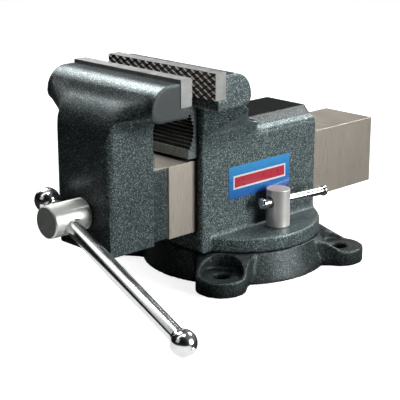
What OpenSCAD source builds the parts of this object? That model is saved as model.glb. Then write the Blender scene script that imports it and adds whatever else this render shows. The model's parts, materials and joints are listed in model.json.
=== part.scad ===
// Bench vise with a swivel base, two lock-down nuts and a sliding T-handle.
// X runs along the jaws, Y along the screw towards the back, Z up.
// The origin is on the swivel axis, at the underside of the base.

/* [Jaws] */
// Width of the jaws
jaw_w = 150; // [140:1:160]
// Opening between the jaw plates as modelled
jaw_gap = 29.3; // [10:0.1:60]
// Distance from the swivel axis forward to the face of the fixed jaw plate
jaw_reach = 103.6; // [100:0.1:106]
// Height of the top of the jaw plates above the bench
jaw_top = 214.8; // [212:0.1:218]
// Height of a jaw plate
plate_h = 25.5; // [24:0.1:26]
// Thickness of a jaw plate
plate_t = 13.6; // [12:0.1:14]

/* [Body] */
// Width of the body housing
body_w = 84; // [82:1:88]
// Distance from the swivel axis to the back of the body
body_back = 76.7; // [70:0.1:78]
// Height of the anvil face above the bench
anvil_z = 152.8; // [150:0.1:156]
// Radius of the round flange under the body
flange_r = 87.6; // [86:0.1:90]
// Height of the seam between the base and the body
seam_z = 29.8; // [29:0.1:31]
// Thickness of the body flange
flange_t = 14.8; // [14:0.1:16]

/* [Base] */
// Radius of the circle through the bench bolt holes
bolt_circle_r = 108.35; // [106:0.05:112]
// Radius of a bench bolt hole
bolt_hole_r = 8.5; // [6:0.5:9]
// Thickness of an ear of the base
ear_t = 15; // [13:0.5:17]
// Outer radius of an ear
ear_r = 25; // [24:0.5:27]
// How far the ears are turned from the front of the body
ear_turn = -52.5; // [-60:0.5:-45]

/* [Slide bar and screw] */
// Width of the slide bar
bar_w = 65.2; // [64:0.1:66]
// Height of the slide bar
bar_h = 71.9; // [70:0.1:73]
// Distance from the swivel axis to the back end of the slide bar
bar_back = 182; // [176:1:190]
// Height of the screw axis above the bench
screw_z = 87.4; // [87:0.1:88]
// Radius of the screw
screw_r = 10.9; // [10:0.1:11.5]
// Radius of the screw head
head_r = 15.3; // [15:0.1:16]
// Length of the screw head
head_len = 41.5; // [38:0.5:44]

/* [Handle] */
// Radius of the handle rod
rod_r = 7.5; // [6.5:0.1:8]
// Radius of a handle ball
ball_r = 12; // [11:0.1:13]
// Distance between the centres of the two balls
ball_span = 201; // [190:1:201]
// Slope of the handle below level
handle_tilt = 25.3; // [20:0.1:25.3]

/* [Lock nuts] */
// Distance from the swivel axis out to a lock nut
lock_x = 58.5; // [58:0.1:59]
// Distance from the swivel axis back to a lock nut
lock_y = 2; // [0:0.5:4]
// Radius of a lock nut
lock_r = 12; // [11:0.1:12.5]
// Height of a lock nut
lock_h = 38.5; // [36:0.5:42]
// Radius of a lock bar
lock_bar_r = 4.25; // [4:0.05:4.5]
// Turn of a lock bar away from the body
lock_turn = 6.7; // [5:0.1:8]

/* [Hidden] */
$fn = 72;
slip = 0.08; // clearance of a running fit
fit = 0.15; // clearance of the slide bar in the body
eps = 0.5; // how far a cut runs past a face
seat_z = jaw_top - plate_h; // ledge that a jaw plate stands on
head_top = jaw_top - 3.1; // top of the jaw castings
head_low = seat_z - 10.5; // underside of the jaw castings
head_deep = 34.3; // depth of a jaw casting behind its plate
mid_y = -jaw_reach - jaw_gap / 2; // plane halfway between the jaws
ledge_step = 3.8; // how far a plate stands proud of its ledge
half_gap = jaw_gap / 2;
plate_back = half_gap + plate_t; // measured from the middle of the opening
ledge_face = half_gap + ledge_step;
web_face = 30.25; // face of the housing and of the slab behind the throat
flange_z = seam_z + flange_t; // top of the body flange
bar_top = 123.2;
bar_low = bar_top - bar_h;
tunnel_low = bar_low - fit;
body_front = -88;
shoulder_z = 138.5; // where the body side starts to bevel towards the anvil
slab_front = -201.2; // front face of the moving jaw
slab_low = 52;
slab_half = 39.3;
neck_end = -120; // back of the solid neck behind the slab
hollow_half = 19.5; // half width of the hollow in the slide bar
hollow_top = 107.5;
screw_tail = 150;
pivot_r = 20; // pivot boss under the body
pivot_h = 7.8;
lock_swing = atan2(lock_y, lock_x);
lock_far = norm([lock_x, lock_y]); // radius of the circular T-slot
stud_r = 6;
slot_half = 6.5;
bar_axis_z = flange_z + 25.4; // height of the lock bars
bar_long = 59; // lock bar, from the nut axis to its far button
bar_short = 18; // and to its near button
button_t = 5;
button_r = 5.8;
plate_screw_x = 38;
plate_screw_z = seat_z + 7;
nut_half = 22;
pin_y = neck_end + 26; // split pin behind the retaining collar

// ---- shared shapes ----

// A rod along Y from y0 to y1 on the screw axis.
module along_y(r, y0, y1) {
    translate([0, y0, screw_z]) rotate([-90, 0, 0]) cylinder(r = r, h = y1 - y0);
}

// Extrudes a (y, z) outline along X, to half on each side.
module across(half) {
    rotate([90, 0, 90]) translate([0, 0, -half]) linear_extrude(2 * half) children();
}

// Places the right-hand lock fittings on their stud, and mirrors them for the left.
module at_lock(side) {
    mirror([side < 0 ? 1 : 0, 0, 0]) translate([lock_x, lock_y, 0]) children();
}

// Carries the handle frame: +X of the frame runs down along the rod.
module at_handle() {
    translate([0, slab_front - head_len / 2, screw_z]) rotate([0, handle_tilt, 0]) children();
}

// Outline of a jaw casting, with u counted backward from the middle of the opening.
module head_outline() {
    big = 22;
    small = 10;
    back = plate_back + head_deep;
    difference() {
        union() {
            translate([ledge_face, head_low]) square([back - small - ledge_face, head_top - head_low - big]);
            translate([plate_back, head_low]) square([back - big - plate_back, head_top - head_low]);
            intersection() {
                translate([back - big, head_top - big]) circle(big);
                translate([plate_back, head_low + small]) square([head_deep, head_top - head_low]);
            }
            translate([back - small, head_low + small]) circle(small);
        }
        translate([ledge_face - eps, seat_z]) square([plate_back - ledge_face + eps, plate_h]);
        translate([0, head_low]) square([ledge_face, plate_h + 10]);
    }
}

// Both jaws have this casting; the moving one is mirrored about the opening.
module jaw_head() {
    translate([0, mid_y, 0]) across(jaw_w / 2) head_outline();
}

// Block under a jaw casting with a hollow toothed face that grips pipe.
module pipe_block() {
    low = bar_top + 3.3;
    hollow_r = 27;
    centre_u = ledge_face - 21;
    centre_z = (low + head_low) / 2;
    translate([0, mid_y, 0]) difference() {
        across(35) translate([ledge_face, low]) square([web_face - ledge_face + 8, head_low - low + 4]);
        across(36) translate([centre_u, centre_z]) circle(hollow_r);
        for (turn = [-34 : 8.5 : 34])
            translate([0, centre_u, centre_z]) rotate([turn, 0, 0])
                across(36) polygon([[hollow_r - 1, -1.9], [hollow_r + 2, 0], [hollow_r - 1, 1.9]]);
    }
}

// Two screw holes through a jaw plate and into its casting.
module plate_screw_holes(r, u0, u1) {
    for (x = [-plate_screw_x, plate_screw_x])
        translate([x, mid_y + u0, plate_screw_z]) rotate([-90, 0, 0]) cylinder(r = r, h = u1 - u0);
}

module jaw_plate_shape() {
    difference() {
        translate([-jaw_w / 2, mid_y + half_gap, seat_z]) cube([jaw_w, plate_t, plate_h]);
        plate_screw_holes(3.2, half_gap - eps, plate_back + eps);
        plate_screw_holes(5.2, half_gap - eps, half_gap + 7.5);
    }
}

// Socket head screws, sunk below the face of the plate.
module plate_screws_shape() {
    difference() {
        union() {
            plate_screw_holes(5, half_gap + 1.5, half_gap + 7.5);
            plate_screw_holes(3, half_gap + 7.5, plate_back + 14);
        }
        for (x = [-plate_screw_x, plate_screw_x])
            translate([x, mid_y + half_gap + 1, plate_screw_z]) rotate([-90, 0, 0])
                cylinder(r = 2.9, h = 3.5, $fn = 6);
    }
}

// Concave fillet between an upright side at half and the underside of a jaw casting.
module side_flare(half, r, y0, y1) {
    for (side = [-1, 1])
        translate([0, y1, 0]) rotate([90, 0, 0]) linear_extrude(y1 - y0)
            difference() {
                translate([side > 0 ? half - 6 : -half - r, head_low - r]) square([r + 6, r + 4]);
                translate([side * (half + r), head_low - r]) circle(r);
                translate([side > 0 ? half - 8 : -half + 6, head_low - r - 1]) square([2, r + 6]);
            }
}

// ---- base ----

// Plan of the ears: a round end, and a web that curves into the disc on both sides.
module ear_plan(disc_r) {
    blend = 34;
    reach = disc_r + blend;
    side = ear_r + blend;
    spread = acos((reach * reach + bolt_circle_r * bolt_circle_r - side * side) / (2 * reach * bolt_circle_r));
    for (ear = [0 : 90 : 270]) rotate(ear + ear_turn) {
        translate([bolt_circle_r, 0]) circle(ear_r);
        difference() {
            polygon([[0, 0], reach * [cos(spread), sin(spread)], [bolt_circle_r, 0],
                     reach * [cos(spread), -sin(spread)]]);
            for (s = [-1, 1]) rotate(s * spread) translate([reach, 0]) circle(blend);
        }
    }
}

// Swivel base: ears with spot-faced bolt holes, a pivot bore and a circular T-slot.
module swivel_base() {
    foot_r = 96;
    top_r = flange_r + 1;
    color("darkslategray") difference() {
        union() {
            cylinder(r1 = foot_r, r2 = top_r, h = seam_z);
            intersection() {
                linear_extrude(seam_z) ear_plan(top_r - 4);
                rotate_extrude() polygon([[0, 0], [140, 0], [140, ear_t], [bolt_circle_r + 8, ear_t],
                                          [top_r, seam_z], [0, seam_z]]);
            }
        }
        // Bench bolt holes, each in a flat face cut into the shoulder.
        for (ear = [0 : 90 : 270]) rotate(ear + ear_turn) translate([bolt_circle_r, 0, 0]) {
            translate([0, 0, -eps]) cylinder(r = bolt_hole_r, h = seam_z);
            translate([0, 0, ear_t - 0.5]) cylinder(r = ear_r - 4, h = seam_z);
            translate([0, 0, ear_t - 2]) cylinder(r1 = bolt_hole_r, r2 = bolt_hole_r + 3, h = 3);
        }
        // Pivot bore and the hollow underside between hub and rim.
        translate([0, 0, -eps]) cylinder(r = pivot_r + slip, h = seam_z + 2 * eps);
        translate([0, 0, -eps]) difference() {
            cylinder(r = 84, h = 3 + eps);
            cylinder(r = 32, h = 4);
        }
        // Circular T-slot, with one round opening underneath for putting the studs in.
        rotate_extrude() translate([lock_far - slot_half, 18]) square([2 * slot_half, seam_z]);
        rotate_extrude() translate([lock_far - 13.5, 9]) square([27, 10]);
        rotate(90) translate([lock_far, 0, 0]) cylinder(r = 13.4, h = 12);
    }
}

// ---- body ----

// Cross section of the body housing, bevelled up to the anvil.
module housing_outline() {
    right = [[body_w / 2, seam_z], [body_w / 2, shoulder_z], [40.2, 141.6], [36.4, 144.2],
             [30.8, 147.6], [26.6, anvil_z]];
    left = [for (i = [len(right) - 1 : -1 : 0]) [-right[i][0], right[i][1]]];
    polygon(concat(right, left));
}

// Web that carries the fixed jaw, hollowed behind down to the anvil.
module fixed_web() {
    back = mid_y + plate_back + head_deep;
    sweep = 41.7;
    difference() {
        across(body_w / 2) translate([body_front, shoulder_z - 2])
            square([-14 - body_front, anvil_z + sweep - 6 - shoulder_z]);
        across(body_w / 2 + 1) translate([back + sweep, anvil_z + sweep]) circle(sweep);
    }
}

// S-shaped gussets from the sides of the housing out to the ends of the fixed jaw.
module fixed_flares() {
    sweep = 52;
    low = shoulder_z + 4;
    high = head_low + 2;
    reach = (jaw_w - body_w) / 2 - 1;
    inner = body_w / 2 - 6;
    steps = 8;
    curve = [for (i = [0 : steps]) let (t = i / steps)
        [body_w / 2 + reach * t * t * (3 - 2 * t), low + (high - low) * t]];
    difference() {
        for (side = [0, 1]) mirror([side, 0, 0]) translate([0, -13, 0]) rotate([90, 0, 0])
            linear_extrude(-13 - body_front) polygon(concat([[inner, low]], curve, [[inner, high]]));
        across(80) translate([-12, anvil_z + sweep]) circle(sweep);
        // The front of each gusset is swept back from the corner of the housing.
        for (side = [0, 1]) mirror([side, 0, 0]) translate([body_w / 2 + 0.5, body_front, low - 1])
            linear_extrude(high - low + 2) polygon([[0, -2], [reach + 8, -2], [reach + 8, reach + 16], [0, 0]]);
    }
}

// Body casting: flange, housing with the tunnel for the slide bar, jaw and anvil.
module fixed_body() {
    color("darkslategray") difference() {
        union() {
            translate([0, 0, seam_z]) cylinder(r = flange_r, h = flange_t);
            translate([0, 0, seam_z - pivot_h]) cylinder(r = pivot_r, h = pivot_h + 1);
            translate([0, body_back, 0]) rotate([90, 0, 0])
                linear_extrude(body_back - body_front) housing_outline();
            fixed_web();
            fixed_flares();
            pipe_block();
            jaw_head();
        }
        translate([-bar_w / 2 - fit, body_front - eps, tunnel_low])
            cube([bar_w + 2 * fit, body_back - body_front + 2 * eps, bar_h + 2 * fit]);
        plate_screw_holes(3, plate_back - 1, plate_back + 14);
        for (side = [-1, 1])
            at_lock(side) translate([0, 0, seam_z - eps]) cylinder(r = stud_r + 0.5, h = flange_t + 1);
        translate([0, 0, seam_z - pivot_h - eps]) cylinder(r = 6.1, h = 40);
        translate([0, 0, seam_z - pivot_h - eps]) cylinder(r = 12.5, h = 12 + eps);
    }
}

module fixed_jaw_plate() {
    color("silver") jaw_plate_shape();
}

module fixed_plate_screws() {
    color("dimgray") plate_screws_shape();
}

// Fixed nut on the floor of the tunnel, inside the hollow of the slide bar.
module spindle_nut() {
    color("slategray") difference() {
        union() {
            along_y(17.5, -nut_half, nut_half);
            translate([-17.5, -nut_half, tunnel_low]) cube([35, 2 * nut_half, screw_z - tunnel_low]);
        }
        along_y(screw_r + slip, -nut_half - eps, nut_half + eps);
        translate([0, 0, tunnel_low - eps]) cylinder(r = 6, h = 18);
    }
}

// Bolt that holds the nut down, its head sunk in the pivot boss.
module nut_bolt() {
    seat = seam_z - pivot_h + 12;
    color("dimgray") difference() {
        union() {
            translate([0, 0, seat - 10]) cylinder(r = 9, h = 8);
            translate([0, 0, seat - 4]) cylinder(r = 6, h = tunnel_low + 14 - seat);
        }
        translate([0, 0, seat - 11]) cylinder(r = 5.8, h = 6, $fn = 6);
    }
}

module nut_bolt_washer() {
    seat = seam_z - pivot_h + 12;
    color("silver") difference() {
        translate([0, 0, seat - 2]) cylinder(r = 11.5, h = 2);
        translate([0, 0, seat - 3]) cylinder(r = 6.4, h = 4);
    }
}

// Plain printed label on the right-hand side of the housing.
module side_label() {
    color("royalblue") translate([body_w / 2, -52, 77.6]) cube([0.4, 88, 33]);
}

// T-headed studs that ride in the circular slot of the base.
module lock_studs() {
    color("gray") for (side = [-1, 1]) mirror([side < 0 ? 1 : 0, 0, 0])
        rotate(lock_swing) translate([lock_far, 0, 0]) {
            translate([-12, -9, 10.6]) cube([24, 18, 8.4]);
            translate([0, 0, 18]) cylinder(r = stud_r, h = flange_z);
        }
}

// ---- moving jaw ----

// Slab of the moving jaw: upright below, rolled over into the casting above.
module slab() {
    bulge = 50;
    roll_z = 155;
    back = mid_y - web_face + 1.3;
    intersection() {
        across(slab_half) union() {
            translate([slab_front, slab_low]) square([back - slab_front, roll_z - slab_low]);
            translate([slab_front + bulge - 2, roll_z - 1]) square([back - slab_front - bulge + 2, 32]);
            intersection() {
                translate([slab_front + bulge, roll_z]) circle(bulge);
                translate([slab_front, roll_z]) square([bulge, 42]);
            }
        }
        translate([0, 0, slab_low]) linear_extrude(160) union() {
            translate([-slab_half, slab_front + 8]) square([2 * slab_half, 60]);
            translate([-slab_half + 8, slab_front]) square([2 * slab_half - 16, 60]);
            for (s = [-1, 1]) translate([s * (slab_half - 8), slab_front + 8]) circle(8);
        }
    }
}

// Moving jaw casting: jaw, slab, neck and the hollow slide bar in one piece.
module moving_jaw() {
    slab_back = mid_y - web_face + 1.3;
    color("darkslategray") difference() {
        union() {
            slab();
            translate([0, 2 * mid_y, 0]) mirror([0, 1, 0]) {
                jaw_head();
                pipe_block();
            }
            side_flare(slab_half, 18, slab_front + 26, slab_back);
            translate([-31.8, slab_back - 1, bar_low + 1]) cube([63.6, neck_end - slab_back + 1, 70.3]);
            translate([-bar_w / 2, neck_end - 3, bar_low])
                cube([bar_w, bar_back - neck_end + 3, bar_h]);
        }
        translate([-hollow_half, neck_end, bar_low - 5])
            cube([2 * hollow_half, bar_back - neck_end + 5, hollow_top - bar_low + 5]);
        along_y(screw_r + slip, slab_front - eps, neck_end + eps);
        translate([0, 2 * mid_y, 0]) mirror([0, 1, 0]) plate_screw_holes(3, plate_back - 1, plate_back + 14);
    }
}

module moving_jaw_plate() {
    color("silver") translate([0, 2 * mid_y, 0]) mirror([0, 1, 0]) jaw_plate_shape();
}

module moving_plate_screws() {
    color("dimgray") translate([0, 2 * mid_y, 0]) mirror([0, 1, 0]) plate_screws_shape();
}

// Coil spring that takes up end play between the neck and the thrust washer.
module retaining_spring() {
    coil_r = 13.5;
    wire_r = 1.3;
    turns = 4;
    steps = 24;
    sides = 8;
    length = 14.8;
    count = turns * steps;
    function ring(i) = let (a = 360 * i / steps, y = neck_end + wire_r + (length - 2 * wire_r) * i / count)
        [for (j = [0 : sides - 1]) let (b = 360 * j / sides, r = coil_r + wire_r * cos(b))
            [r * cos(a), y + wire_r * sin(b), screw_z + r * sin(a)]];
    points = [for (i = [0 : count]) each ring(i)];
    walls = [for (i = [0 : count - 1]) for (j = [0 : sides - 1])
        let (k = (j + 1) % sides)
        [i * sides + j, (i + 1) * sides + j, (i + 1) * sides + k, i * sides + k]];
    first = [for (j = [0 : sides - 1]) j];
    last = [for (j = [sides - 1 : -1 : 0]) count * sides + j];
    color("darkgray") polyhedron(points, concat(walls, [first], [last]));
}

// ---- screw ----

// Lead screw: round head with a cross hole for the handle, then the long thread.
module lead_screw() {
    color("silver") difference() {
        union() {
            along_y(head_r, slab_front - head_len, slab_front);
            along_y(screw_r, slab_front - 1, screw_tail);
        }
        at_handle() rotate([0, 90, 0]) translate([0, 0, -20]) cylinder(r = rod_r + slip, h = 40);
        at_handle() for (s = [0, 180]) rotate([0, 90 + s, 0])
            translate([0, 0, 11]) cylinder(r1 = rod_r, r2 = rod_r + 3, h = 5);
        translate([0, pin_y, screw_z - 20]) cylinder(r = 2.1, h = 40);
    }
}

module thrust_washer() {
    color("silver") difference() {
        along_y(17, neck_end + 15, neck_end + 18);
        along_y(screw_r + slip, neck_end + 14, neck_end + 19);
    }
}

module retaining_collar() {
    color("gray") difference() {
        along_y(17, neck_end + 18, neck_end + 32);
        along_y(screw_r + slip, neck_end + 17, neck_end + 33);
        translate([0, pin_y, screw_z - 20]) cylinder(r = 2.1, h = 40);
    }
}

// Pin through the collar and the screw.
module split_pin() {
    color("silver") translate([0, pin_y, screw_z - 17.6]) cylinder(r = 2, h = 35.2);
}

// ---- handle ----

far_x = -(head_r + ball_r + 0.3);
near_x = far_x + ball_span;

module handle_rod() {
    spigot = 5;
    color("silver") at_handle() rotate([0, 90, 0]) {
        translate([0, 0, far_x + 9]) cylinder(r = rod_r, h = ball_span - 18);
        translate([0, 0, far_x - 4]) cylinder(r = spigot, h = ball_span + 8);
    }
}

module handle_ball(x) {
    toward = x < 0 ? 1 : -1;
    color("silver") at_handle() translate([x, 0, 0]) rotate([0, toward * 90, 0]) difference() {
        sphere(ball_r);
        translate([0, 0, -4.05]) cylinder(r = 5.02, h = 30);
        translate([0, 0, 9]) cylinder(r = rod_r + 0.02, h = 30);
    }
}

module handle_ball_near() {
    handle_ball(near_x);
}

module handle_ball_far() {
    handle_ball(far_x);
}

// ---- lock nuts ----

// Tall round nut with a blind threaded bore and a cross hole for its bar.
module lock_nut(side) {
    color("lightgray") at_lock(side) difference() {
        union() {
            translate([0, 0, flange_z]) cylinder(r = lock_r, h = lock_h - 1);
            translate([0, 0, flange_z + lock_h - 1]) cylinder(r1 = lock_r, r2 = lock_r - 1, h = 1);
        }
        translate([0, 0, flange_z - eps]) cylinder(r = stud_r + slip, h = 19);
        translate([0, 0, bar_axis_z]) rotate([-90, 0, -lock_turn]) {
            translate([0, 0, -20]) cylinder(r = lock_bar_r + slip, h = 40);
            for (s = [0, 180]) rotate([s, 0, 0])
                translate([0, 0, 8.5]) cylinder(r1 = lock_bar_r, r2 = lock_bar_r + 2.2, h = 4);
        }
    }
}

module lock_bar(side) {
    color("silver") at_lock(side) translate([0, 0, bar_axis_z]) rotate([-90, 0, -lock_turn]) {
        translate([0, 0, -bar_short]) cylinder(r = lock_bar_r, h = bar_short + bar_long);
        translate([0, 0, -bar_short - button_t]) cylinder(r = 2.5, h = bar_short + bar_long + 2 * button_t);
    }
}

module lock_buttons(side) {
    color("silver") at_lock(side) translate([0, 0, bar_axis_z]) rotate([-90, 0, -lock_turn])
        for (z = [-bar_short - button_t, bar_long]) translate([0, 0, z]) difference() {
            cylinder(r = button_r, h = button_t);
            translate([0, 0, -1]) cylinder(r = 2.52, h = button_t + 2);
        }
}

module lock_nut_right() {
    lock_nut(1);
}

module lock_nut_left() {
    lock_nut(-1);
}

module lock_bar_right() {
    lock_bar(1);
}

module lock_bar_left() {
    lock_bar(-1);
}

module lock_buttons_right() {
    lock_buttons(1);
}

module lock_buttons_left() {
    lock_buttons(-1);
}

swivel_base();
fixed_body();
fixed_jaw_plate();
fixed_plate_screws();
spindle_nut();
nut_bolt();
nut_bolt_washer();
side_label();
lock_studs();
moving_jaw();
moving_jaw_plate();
moving_plate_screws();
retaining_spring();
lead_screw();
thrust_washer();
retaining_collar();
split_pin();
handle_rod();
handle_ball_near();
handle_ball_far();
lock_nut_right();
lock_nut_left();
lock_bar_right();
lock_bar_left();
lock_buttons_right();
lock_buttons_left();
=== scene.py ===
import json
import math

import bmesh
import bpy
import numpy as np
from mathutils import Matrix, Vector

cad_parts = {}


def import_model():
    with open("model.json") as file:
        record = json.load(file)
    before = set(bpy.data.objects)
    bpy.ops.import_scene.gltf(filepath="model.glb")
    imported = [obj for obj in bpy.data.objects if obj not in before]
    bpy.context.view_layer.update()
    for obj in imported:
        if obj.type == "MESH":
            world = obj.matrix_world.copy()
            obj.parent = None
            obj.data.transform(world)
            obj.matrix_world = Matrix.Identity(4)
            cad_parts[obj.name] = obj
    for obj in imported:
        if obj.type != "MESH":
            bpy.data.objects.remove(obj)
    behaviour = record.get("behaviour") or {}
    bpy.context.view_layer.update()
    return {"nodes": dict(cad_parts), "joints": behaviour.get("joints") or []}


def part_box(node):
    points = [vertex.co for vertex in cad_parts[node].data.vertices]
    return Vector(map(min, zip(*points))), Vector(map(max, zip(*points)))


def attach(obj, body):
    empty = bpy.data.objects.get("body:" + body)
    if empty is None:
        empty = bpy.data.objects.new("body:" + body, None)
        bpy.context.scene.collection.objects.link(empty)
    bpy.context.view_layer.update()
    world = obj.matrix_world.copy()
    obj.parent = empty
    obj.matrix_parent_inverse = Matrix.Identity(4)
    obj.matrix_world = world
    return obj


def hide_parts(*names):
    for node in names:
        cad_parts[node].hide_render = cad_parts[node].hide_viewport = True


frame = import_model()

# Bench vise: painted castings, ground steel, serrated plates and bright fittings, in metres.
# Places come from the CAD's boxes and from the sizes below. MM turns millimetres into metres.
MM = 0.001
NODES = frame["nodes"]


def low(node):
    return Vector(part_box(node)[0])


def high(node):
    return Vector(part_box(node)[1])


def middle(node):
    return (low(node) + high(node)) / 2


# ---- places taken from the frame ----

JOINTS = {j["name"]: j for j in frame["joints"]}
SCREW_Z = JOINTS["screw_turn"]["pos_m"][2]
PLATE_LOW, PLATE_HIGH = low("fixed_jaw_plate"), high("fixed_jaw_plate")
JAW_HALF = PLATE_HIGH.x
MID_Y = (PLATE_LOW.y + high("moving_jaw_plate").y) / 2
SLAB_FRONT = low("moving_jaw").y
BAR_BACK = high("moving_jaw").y
SEAM_Z = high("swivel_base").z
LABEL_LOW, LABEL_HIGH = low("side_label"), high("side_label")
BODY_SIDE = LABEL_LOW.x

# ---- sizes of the CAD that its boxes don't give ----

# The slide bar, the neck in front of it and the hollow inside.
BAR_HALF = 32.6 * MM
BAR_LOW, BAR_HIGH = 51.3 * MM, 123.2 * MM
BAR_FRONT = -123 * MM
NECK_END = low("retaining_spring").y
NECK_HALF = 31.8 * MM
HOLLOW_HALF = 19.5 * MM
HOLLOW_TOP = 107.5 * MM

# The back of the slab, the front of the body and the flat anvil face.
SLAB_BACK = -151 * MM
BODY_FRONT = -88 * MM
ANVIL_Z = 152.8 * MM

# The jaws: where their plates' seats start, and how near the ends their edges stay sharp.
SEAT_LOW = 185 * MM
JAW_LOW = 176 * MM
END_MARGIN = 1.6 * MM

# The pipe grips: blocks with a hollow arc of teeth, centred behind their faces.
GRIP_HALF = 35 * MM
GRIP_LOW, GRIP_HIGH = BAR_HIGH + 3.3 * MM, 180 * MM
GRIP_FACE = 18.45 * MM
GRIP_R = 27 * MM
GRIP_SET_BACK = 21 * MM

# The bolt holes of the base, and the spot faces round them.
BOLT_CIRCLE_R = 108.35 * MM
BOLTS = [(BOLT_CIRCLE_R * math.cos(math.radians(a)), BOLT_CIRCLE_R * math.sin(math.radians(a)))
         for a in (-52.5, 37.5, 127.5, 217.5)]
POCKET_R = 23 * MM

# The screw.
SHANK_R = 10.9 * MM
THREAD_ROOT_R = 8.7 * MM
THREAD_START = low("thrust_washer").y + 40 * MM
THREAD_PITCH = 5 * MM

# The lock bars: their bars, and the pins at their ends that hold the buttons.
LOCK_BAR_R = 4.25 * MM
LOCK_PIN_R = 2.5 * MM
BUTTON_R = 5.8 * MM
BUTTON_THICK = 5 * MM

FAR = 9  # beyond the object on every side


# ---- mesh helpers ----

def add_object(name, mesh):
    obj = bpy.data.objects.new(name, mesh)
    bpy.context.scene.collection.objects.link(obj)
    return obj


def from_bmesh(name, bm):
    mesh = bpy.data.meshes.new(name)
    bmesh.ops.recalc_face_normals(bm, faces=bm.faces)
    bm.to_mesh(mesh)
    bm.free()
    return add_object(name, mesh)


def apply_modifiers(obj):
    """Bakes an object's modifiers into its mesh."""
    graph = bpy.context.evaluated_depsgraph_get()
    mesh = bpy.data.meshes.new_from_object(obj.evaluated_get(graph))
    obj.modifiers.clear()
    obj.data = mesh
    return obj


def cut(obj, *cutters):
    """Takes the cutters' solids away from obj, and removes the cutters."""
    for cutter in cutters:
        hole = obj.modifiers.new("cut", "BOOLEAN")
        hole.operation = "DIFFERENCE"
        hole.solver = "EXACT"
        hole.object = cutter
    apply_modifiers(obj)
    for cutter in cutters:
        bpy.data.objects.remove(cutter)
    return obj


def soften(obj, width, segments=3, angle=35):
    """Rounds an object's sharp edges and shades it smooth."""
    bevel = obj.modifiers.new("edges", "BEVEL")
    bevel.width = width
    bevel.segments = segments
    bevel.limit_method = "ANGLE"
    bevel.angle_limit = math.radians(angle)
    bevel.use_clamp_overlap = True
    apply_modifiers(obj)
    shade_smooth(obj)
    even = obj.modifiers.new("normals", "WEIGHTED_NORMAL")
    even.keep_sharp = True
    return apply_modifiers(obj)


def shade_smooth(obj):
    obj.data.polygons.foreach_set("use_smooth", [True] * len(obj.data.polygons))


def block(name, lowest, highest):
    bm = bmesh.new()
    bmesh.ops.create_cube(bm, size=1)
    size = Vector(highest) - Vector(lowest)
    centre = (Vector(highest) + Vector(lowest)) / 2
    for v in bm.verts:
        v.co = Vector(v.co[i] * size[i] + centre[i] for i in range(3))
    return from_bmesh(name, bm)


def turned(name, outline, at, axis, steps=96):
    """Turns an outline of (radius, distance) points about the axis that starts at a point."""
    bm = bmesh.new()
    turn = Vector((0, 0, 1)).rotation_difference(Vector(axis)).to_matrix()
    rings = []
    for radius, along in outline:
        count = 1 if radius == 0 else steps
        ring = []
        for i in range(count):
            a = 2 * math.pi * i / count
            point = Vector((radius * math.cos(a), radius * math.sin(a), along))
            ring.append(bm.verts.new(Vector(at) + turn @ point))
        rings.append(ring)
    for one, two in zip(rings, rings[1:]):
        for i in range(steps):
            k = (i + 1) % steps
            corners = [one[i % len(one)], one[k % len(one)], two[k % len(two)], two[i % len(two)]]
            bm.faces.new(dict.fromkeys(corners))
    return from_bmesh(name, bm)


def hull(name, points):
    """The smallest convex solid round a set of points."""
    bm = bmesh.new()
    for point in points:
        bm.verts.new(point)
    found = bmesh.ops.convex_hull(bm, input=bm.verts)
    bmesh.ops.delete(bm, geom=only_verts(found["geom_interior"]), context="VERTS")
    return from_bmesh(name, bm)


def only_verts(geom):
    return [g for g in geom if isinstance(g, bmesh.types.BMVert)]


def rod_outline(radius, start, end):
    """Outline of a plain cylinder, for turned()."""
    return [(0, start), (radius, start), (radius, end), (0, end)]


def extruded(name, outline, x0, x1):
    """Extrudes a (y, z) outline along X."""
    bm = bmesh.new()
    face = bm.faces.new([bm.verts.new((x0, y, z)) for y, z in outline])
    new = bmesh.ops.extrude_face_region(bm, geom=[face])["geom"]
    bmesh.ops.translate(bm, vec=(x1 - x0, 0, 0), verts=only_verts(new))
    return from_bmesh(name, bm)


# ---- castings ----

ROUND_PASSES = 4


def read_mesh(mesh):
    points = np.empty(len(mesh.vertices) * 3)
    mesh.vertices.foreach_get("co", points)
    edges = np.empty(len(mesh.edges) * 2, dtype=np.int64)
    mesh.edges.foreach_get("vertices", edges)
    return points.reshape(-1, 3), edges.reshape(-1, 2)


def read_normals(mesh, points):
    """The mesh's vertex normals once its vertices are at these points."""
    mesh.vertices.foreach_set("co", points.ravel())
    mesh.update()
    normals = np.empty(len(mesh.vertices) * 3)
    mesh.vertex_normals.foreach_get("vector", normals)
    return normals.reshape(-1, 3)


def towards_neighbours(points, edges, count):
    """How far each point is from the mean of its neighbours."""
    total = np.zeros_like(points)
    for axis in range(3):
        total[:, axis] = np.bincount(edges[:, 0], points[edges[:, 1], axis], len(points))
        total[:, axis] += np.bincount(edges[:, 1], points[edges[:, 0], axis], len(points))
    return total / count[:, None] - points


def cast_surface(obj, voxel, fill_passes, fill_weight, round_weight):
    """Gives a solid the surface of a sand casting: one skin, filled inner corners, rounded edges.

    Each weight is a function of the points: 1 where the step acts fully and 0 where it doesn't.
    """
    remesh = obj.modifiers.new("skin", "REMESH")
    remesh.mode = "VOXEL"
    remesh.voxel_size = voxel
    apply_modifiers(obj)
    mesh = obj.data
    points, edges = read_mesh(mesh)
    count = np.maximum(np.bincount(edges.ravel(), minlength=len(points)), 1)
    weight = fill_weight(points)
    for i in range(fill_passes):
        if i % 8 == 0:
            normals = read_normals(mesh, points)
        pull = towards_neighbours(points, edges, count)
        outward = np.maximum((pull * normals).sum(axis=1), 0)
        points = points + (0.6 * weight * outward)[:, None] * normals
    weight = round_weight(points)
    for _ in range(ROUND_PASSES):
        points = points + 0.5 * weight[:, None] * towards_neighbours(points, edges, count)
    mesh.vertices.foreach_set("co", points.ravel())
    mesh.update()
    shade_smooth(obj)
    return obj


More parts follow.
